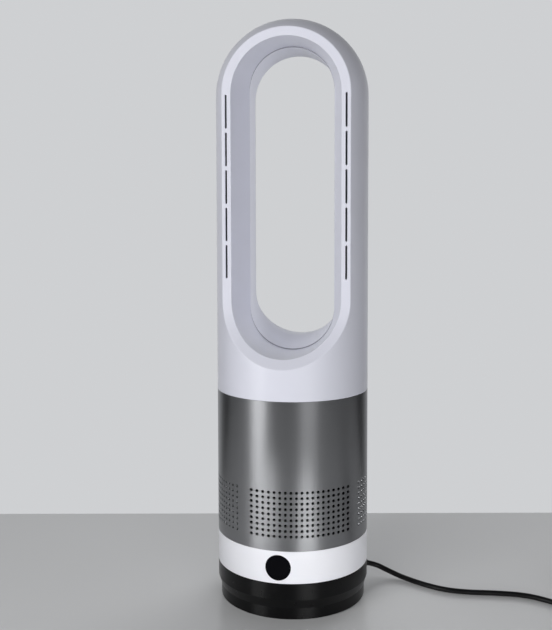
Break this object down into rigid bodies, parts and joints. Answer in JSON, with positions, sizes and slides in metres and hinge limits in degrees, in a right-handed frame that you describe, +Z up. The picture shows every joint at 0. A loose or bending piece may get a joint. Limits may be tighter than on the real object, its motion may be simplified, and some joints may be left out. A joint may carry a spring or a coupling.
{
  "type": "bladeless fan",
  "caption": "Free-standing bladeless fan: round base, swinging inlet tower with a hidden blower, and a tall open air loop that blows forward from side slots; mains lead with plug.",
  "frame": {"origin": "on the floor, on the fan's upright axis, at the middle of the undersides of the feet", "axes": "+Z up along the fan's axis, -Y the way the loop blows, +X the right-hand side seen from the front"},
  "size_m": [0.4955, 0.16, 0.609],
  "materials": {
    "black_gloss": "glossy moulded black",
    "window_black": "polished tinted black",
    "loop_white": "satin to glossy white",
    "band_white": "satin white",
    "silver_sleeve": "satin silver grey",
    "dark_plastic": "moulded dark grey",
    "grey_plastic": "moulded mid grey",
    "natural_acetal": "natural acetal",
    "black_rubber": "soft matt black",
    "cord_black": "satin black sheath",
    "steel": "zinc plated",
    "ballast_iron": "plain cast",
    "blade_brass": "bright",
    "board_green": "solder resist",
    "part_black": "moulded component body",
    "copper_winding": "enamelled copper",
    "alloy": "plain die cast",
    "iron_core": "stacked laminations"
  },
  "bodies": {
    "base": {"base_shell": "black_gloss", "base_plate": "dark_plastic", "rubber_feet": "black_rubber", "base_screws": "steel", "ballast_ring": "ballast_iron", "sun_gear": "natural_acetal", "slide_ring": "natural_acetal", "pivot_bush": "natural_acetal", "retaining_washer": "steel", "retaining_clip": "steel", "inner_lead": "cord_black", "strain_relief": "black_rubber", "cord_run": "cord_black", "cord_coil": "cord_black", "cord_tie": "dark_plastic", "mains_plug": "cord_black", "plug_blades": "blade_brass"},
    "tower": {"tower_tray": "dark_plastic", "control_band": "band_white", "display_window": "window_black", "display_holder": "dark_plastic", "display_board": "board_green", "digit_module": "part_black", "infrared_receiver": "part_black", "touch_spring": "steel", "main_board": "board_green", "board_screws": "steel", "board_capacitors": "part_black", "board_transformer": "iron_core", "heat_sink": "alloy", "swing_motor": "alloy", "swing_motor_screws": "steel", "bay_cover": "dark_plastic", "frame_posts": "steel", "perforated_sleeve": "silver_sleeve", "fan_deck": "dark_plastic", "inlet_bell": "dark_plastic", "blower_shroud": "dark_plastic", "motor_stator": "iron_core", "stator_coils": "copper_winding", "motor_can": "alloy", "motor_cap": "alloy", "motor_bearings": "steel", "motor_mount_ring": "black_rubber", "diffuser": "grey_plastic", "tail_cone": "grey_plastic", "upper_rods": "steel", "duct_seal": "black_rubber", "duct_adapter": "dark_plastic", "adapter_screws": "steel", "loop_front_shell": "loop_white", "loop_rear_shell": "loop_white", "slot_nozzles": "dark_plastic"},
    "pinion": {"swing_pinion": "natural_acetal"},
    "impeller": {"impeller": "grey_plastic", "impeller_nut": "steel", "motor_shaft": "steel", "motor_rotor": "iron_core"}
  },
  "joints": [
    {"name": "tower_swing", "type": "hinge", "parent": "base", "child": "tower", "pos_m": [0, 0, 0.038], "axis": [0, 0, 1], "range_deg": [-40, 40]},
    {"name": "pinion_spin", "type": "hinge", "parent": "tower", "child": "pinion", "pos_m": [0.036, 0, 0.03], "axis": [0, 0, 1], "range_deg": [-200, 200]},
    {"name": "impeller_spin", "type": "hinge", "parent": "tower", "child": "impeller", "pos_m": [0, 0, 0.15], "axis": [0, 0, 1], "continuous": true}
  ],
  "couplings": [
    {"joint": "pinion_spin", "follows": "tower_swing", "ratio": 5}
  ]
}
